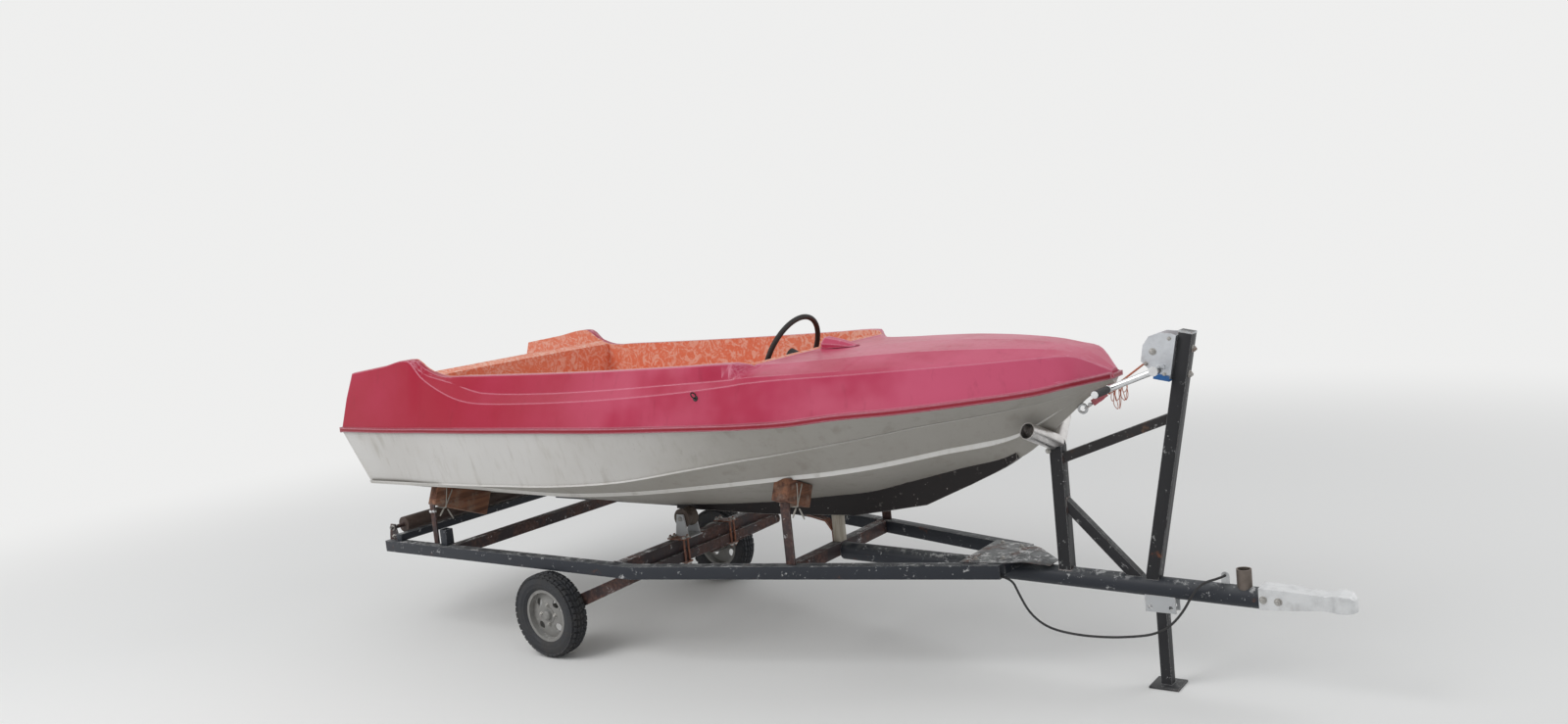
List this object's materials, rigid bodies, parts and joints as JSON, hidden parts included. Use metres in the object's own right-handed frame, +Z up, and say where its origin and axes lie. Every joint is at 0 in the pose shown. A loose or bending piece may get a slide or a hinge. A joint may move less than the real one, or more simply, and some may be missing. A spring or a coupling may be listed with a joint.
{
  "type": "speedboat on a trailer",
  "caption": "Small open speedboat with a raised finned stern and a long foredeck, strapped on a single-axle A-frame trailer with a winch post, rollers and wooden blocks.",
  "frame": {"origin": "on the ground under the middle of the overall box, halfway from the boat's stern to the coupling's nose", "axes": "+X forward to the bow and coupling, +Y to port, +Z up"},
  "size_m": [4.658, 1.426, 1.4384],
  "materials": {
    "deck_red": "semi-gloss, weathered",
    "hull_grey": "weathered gelcoat",
    "liner_orange": "mottled, faded",
    "rub_strip": "semi-gloss, white chips",
    "keel_brown": "painted, worn",
    "frame_paint": "worn, rusty",
    "rusty_steel": "rusty",
    "pale_paint": "worn",
    "zinc": "dull",
    "chrome": "bright",
    "block_wood": "stained",
    "plank_wood": "bare, grey",
    "roller_brown": "matte",
    "roller_grey": "matte",
    "tyre_black": "dusty",
    "rim_paint": "worn, rusty",
    "helm_black": "satin",
    "rope_orange": "fibrous",
    "cable_black": "satin"
  },
  "bodies": {
    "boat_on_trailer": {"deck_moulding": "deck_red", "helm_cowl": "deck_red", "hull_shell": "hull_grey", "cockpit_liner": "liner_orange", "stern_well_liner": "liner_orange", "backrest_bulkhead": "liner_orange", "rear_bench": "liner_orange", "front_bench": "liner_orange", "dash_panel": "liner_orange", "rub_rail": "rub_strip", "keel_bar": "keel_brown", "bow_eye": "zinc", "steering_column": "helm_black", "side_rail_near": "frame_paint", "side_rail_far": "frame_paint", "crossmembers": "frame_paint", "rear_cross_bar": "frame_paint", "drawbar_tube": "frame_paint", "front_saddle": "frame_paint", "gusset_plate": "frame_paint", "axle": "rusty_steel", "axle_clamps": "rusty_steel", "rear_roller_mount": "rusty_steel", "keel_roller_mount": "pale_paint", "stake_sockets": "frame_paint", "rear_posts": "rusty_steel", "middle_posts": "rusty_steel", "rear_blocks": "block_wood", "middle_blocks": "block_wood", "keel_chock": "plank_wood", "keel_strap": "rusty_steel", "front_post": "frame_paint", "upper_brace": "rusty_steel", "lower_brace": "frame_paint", "winch_post": "frame_paint", "bow_rest": "pale_paint", "winch_frame": "zinc", "winch_drum": "zinc", "winch_rope": "rope_orange", "coupling": "zinc", "jockey_socket": "zinc", "prop_leg": "frame_paint", "prop_plates": "pale_paint", "cable_eye": "zinc", "trailer_cable": "cable_black"},
    "near_wheel": {"tyre_near": "tyre_black", "wheel_rim_near": "rim_paint"},
    "far_wheel": {"tyre_far": "tyre_black", "wheel_rim_far": "rim_paint"},
    "rear_roller_body": {"rear_roller": "roller_brown"},
    "keel_roller_body": {"keel_roller": "roller_grey"},
    "helm": {"steering_wheel": "helm_black"},
    "crank": {"winch_crank": "chrome"}
  },
  "joints": [
    {"name": "near_wheel_spin", "type": "hinge", "parent": "boat_on_trailer", "child": "near_wheel", "pos_m": [-0.957, -0.622, 0.195], "axis": [0, 1, 0], "continuous": true},
    {"name": "far_wheel_spin", "type": "hinge", "parent": "boat_on_trailer", "child": "far_wheel", "pos_m": [-0.957, 0.622, 0.195], "axis": [0, 1, 0], "continuous": true},
    {"name": "rear_roller_spin", "type": "hinge", "parent": "boat_on_trailer", "child": "rear_roller_body", "pos_m": [-2.112, 0, 0.518], "axis": [0, 1, 0], "continuous": true},
    {"name": "keel_roller_spin", "type": "hinge", "parent": "boat_on_trailer", "child": "keel_roller_body", "pos_m": [-0.537, -0.1, 0.541], "axis": [0, 1, 0], "continuous": true},
    {"name": "steering", "type": "hinge", "parent": "boat_on_trailer", "child": "helm", "pos_m": [-0.015, 0.15, 1.256], "axis": [0.9063, 0, -0.4226], "range_deg": [-540, 540]},
    {"name": "winch_crank_turn", "type": "hinge", "parent": "boat_on_trailer", "child": "crank", "pos_m": [1.74194, -0.09, 1.19664], "axis": [0, 1, 0], "continuous": true}
  ]
}
